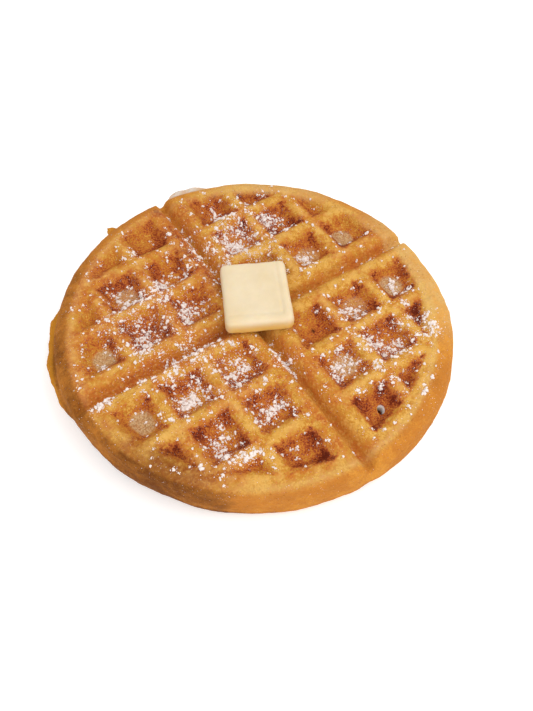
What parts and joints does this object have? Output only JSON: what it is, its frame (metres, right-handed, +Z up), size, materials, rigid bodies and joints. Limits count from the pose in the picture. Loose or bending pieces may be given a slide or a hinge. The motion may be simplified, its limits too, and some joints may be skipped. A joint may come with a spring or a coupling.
{
  "type": "belgian waffle",
  "caption": "Round Belgian waffle in four quarters with square pockets, grooves between the quarters, a pat of butter on top and icing sugar.",
  "frame": {"origin": "middle of the whole outline, on the plane that the underside rests on", "axes": "+Z up out of the face with the butter; +X and +Y along the two grooves that part the quarters"},
  "size_m": [0.1803, 0.1782, 0.034],
  "materials": {
    "crust": "golden brown baked batter, dull, with white icing sugar; matte_plastic stands in for food",
    "butter": "pale butter with a soft sheen; matte_plastic stands in for food"
  },
  "bodies": {
    "root": {"waffle": "crust", "butter_pat": "butter"}
  },
  "joints": []
}
